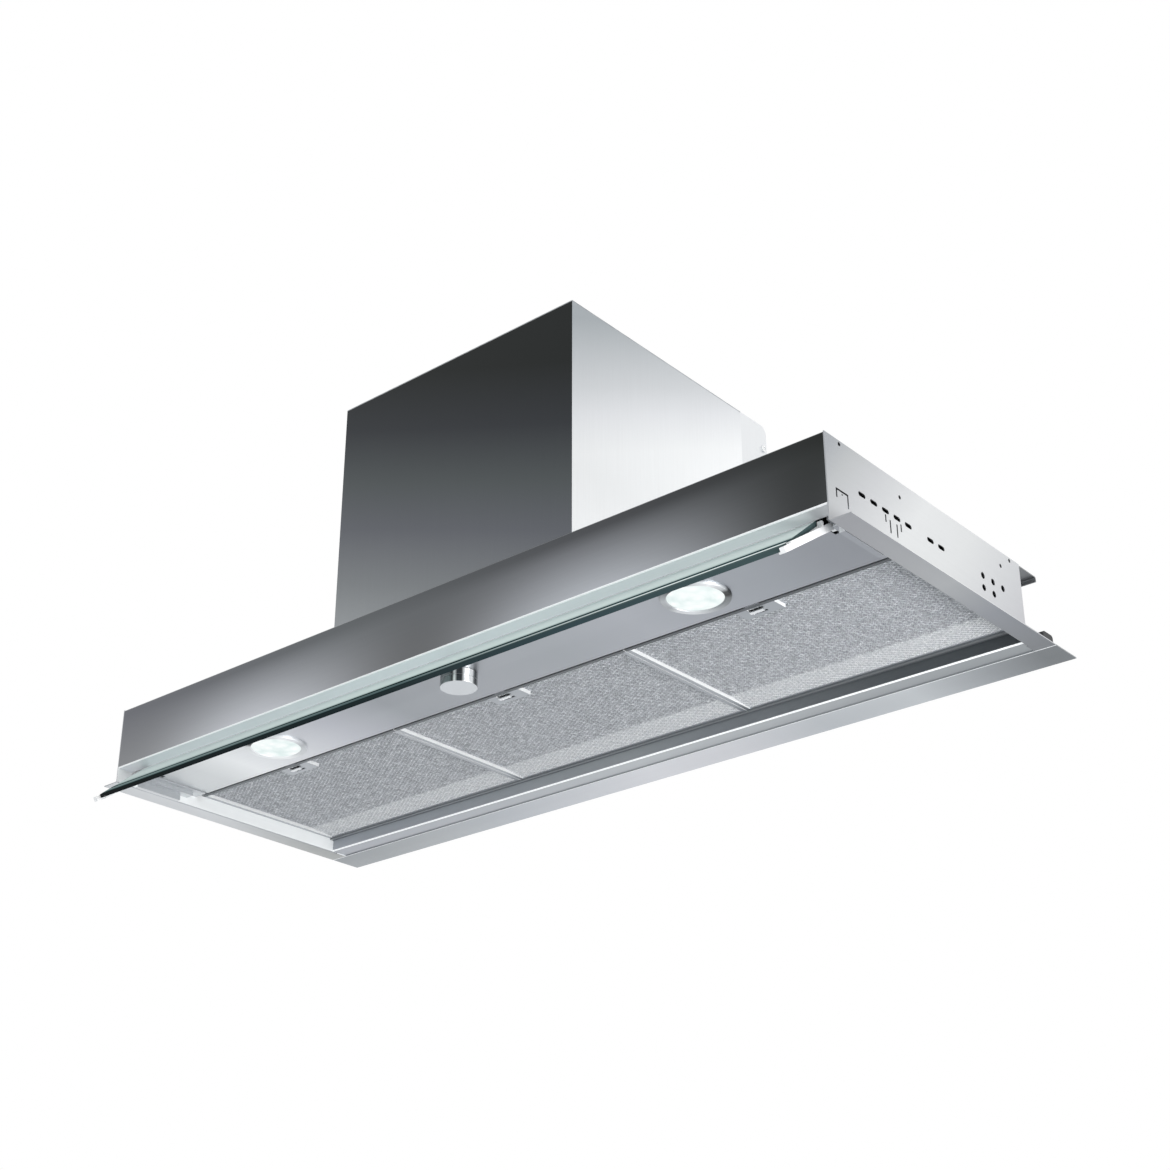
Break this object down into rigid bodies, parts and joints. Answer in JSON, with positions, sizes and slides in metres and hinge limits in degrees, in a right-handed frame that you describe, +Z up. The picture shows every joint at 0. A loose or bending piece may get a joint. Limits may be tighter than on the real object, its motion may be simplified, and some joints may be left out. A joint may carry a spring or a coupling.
{
  "type": "range hood",
  "caption": "Integrated stainless range hood for a wall unit, with a tilting glass visor, grease filters, lamps, a rotary knob and a motor box",
  "frame": {"origin": "on the seating face of the flange, on the hood's centre line, in the middle of the rear flange strip", "axes": "+X to the hood's right as the picture names it, seen from the front; +Y to the rear wall; +Z up into the wall unit"},
  "size_m": [0.9, 0.388, 0.41],
  "materials": {
    "stainless": "brushed, satin",
    "zinc_steel": "zinc coated, dull",
    "bright_steel": "ground",
    "chrome": "polished",
    "mesh_aluminium": "woven, satin",
    "frame_aluminium": "satin",
    "visor_glass": "clear float glass, polished edge",
    "lamp_glass": "frosted",
    "black_plastic": "fine grain",
    "grey_plastic": "fine grain",
    "white_plastic": "smooth",
    "motor_paint": "semi-gloss",
    "windings": "varnished",
    "bronze": "sintered, oiled"
  },
  "bodies": {
    "hood": {"front_panel": "stainless", "side_panel_left": "stainless", "side_panel_right": "stainless", "top_panel": "stainless", "rear_wall": "stainless", "rear_flange": "stainless", "flange_spacers": "black_plastic", "end_bracket_left": "stainless", "end_bracket_right": "stainless", "filter_rear_rail": "zinc_steel", "motor_box_shell": "stainless", "motor_box_cover": "stainless", "motor_box_top": "zinc_steel", "duct_collar": "black_plastic", "flap_pin": "zinc_steel", "scroll_left": "zinc_steel", "scroll_right": "zinc_steel", "motor_housing": "motor_paint", "motor_end_cap": "motor_paint", "stator": "windings", "bush_front": "bronze", "bush_rear": "bronze", "motor_bracket": "zinc_steel", "run_capacitor": "white_plastic", "connection_box": "black_plastic", "connection_box_lid": "black_plastic", "terminal_block": "white_plastic", "cable_gland": "black_plastic", "lamp_driver": "white_plastic", "lamp_panel": "stainless", "lamp_ring_left": "chrome", "lamp_ring_right": "chrome", "lamp_lens_left": "lamp_glass", "lamp_lens_right": "lamp_glass", "lamp_housing_left": "frame_aluminium", "lamp_housing_right": "frame_aluminium", "rotary_switch": "black_plastic", "screws": "zinc_steel"},
    "visor": {"visor_glass": "visor_glass", "visor_arm_left": "bright_steel", "visor_arm_right": "bright_steel", "visor_pins": "bright_steel"},
    "knob": {"control_knob": "chrome", "knob_spindle": "bright_steel"},
    "left_filter": {"filter_frame_left": "frame_aluminium", "filter_mesh_left": "mesh_aluminium"},
    "middle_filter": {"filter_frame_middle": "frame_aluminium", "filter_mesh_middle": "mesh_aluminium"},
    "right_filter": {"filter_frame_right": "frame_aluminium", "filter_mesh_right": "mesh_aluminium"},
    "left_latch": {"filter_latch_left": "bright_steel"},
    "middle_latch": {"filter_latch_middle": "bright_steel"},
    "right_latch": {"filter_latch_right": "bright_steel"},
    "fan": {"fan_wheel_left": "zinc_steel", "fan_wheel_right": "zinc_steel", "fan_hub_disc": "zinc_steel", "motor_shaft": "bright_steel", "rotor_core": "frame_aluminium"},
    "left_flap": {"flap_left": "black_plastic"},
    "right_flap": {"flap_right": "black_plastic"}
  },
  "joints": [
    {"name": "visor_tilt", "type": "hinge", "parent": "hood", "child": "visor", "pos_m": [0, -0.2955, 0.017], "axis": [1, 0, 0], "range_deg": [0, 40]},
    {"name": "knob_turn", "type": "hinge", "parent": "hood", "child": "knob", "pos_m": [0, -0.2835, 0.005], "axis": [0, 0, 1], "range_deg": [0, 150]},
    {"name": "left_filter_drop", "type": "hinge", "parent": "hood", "child": "left_filter", "pos_m": [-0.28627, -0.0435, 0.0135], "axis": [1, 0, 0], "range_deg": [0, 60]},
    {"name": "middle_filter_drop", "type": "hinge", "parent": "hood", "child": "middle_filter", "pos_m": [0, -0.0435, 0.0135], "axis": [1, 0, 0], "range_deg": [0, 60]},
    {"name": "right_filter_drop", "type": "hinge", "parent": "hood", "child": "right_filter", "pos_m": [0.28627, -0.0435, 0.0135], "axis": [1, 0, 0], "range_deg": [0, 60]},
    {"name": "left_latch_slide", "type": "slide", "parent": "left_filter", "child": "left_latch", "axis": [0, 1, 0], "range_m": [0, 0.0045], "stiffness_N_per_m": 200, "springref_m": -0.01},
    {"name": "middle_latch_slide", "type": "slide", "parent": "middle_filter", "child": "middle_latch", "axis": [0, 1, 0], "range_m": [0, 0.0045], "stiffness_N_per_m": 200, "springref_m": -0.01},
    {"name": "right_latch_slide", "type": "slide", "parent": "right_filter", "child": "right_latch", "axis": [0, 1, 0], "range_m": [0, 0.0045], "stiffness_N_per_m": 200, "springref_m": -0.01},
    {"name": "fan_spin", "type": "hinge", "parent": "hood", "child": "fan", "pos_m": [0, -0.1245, 0.1833], "axis": [1, 0, 0], "continuous": true},
    {"name": "left_flap_lift", "type": "hinge", "parent": "hood", "child": "left_flap", "pos_m": [0, -0.1675, 0.3464], "axis": [0, 1, 0], "range_deg": [0, 75]},
    {"name": "right_flap_lift", "type": "hinge", "parent": "hood", "child": "right_flap", "pos_m": [0, -0.1675, 0.3464], "axis": [0, -1, 0], "range_deg": [0, 75]}
  ]
}
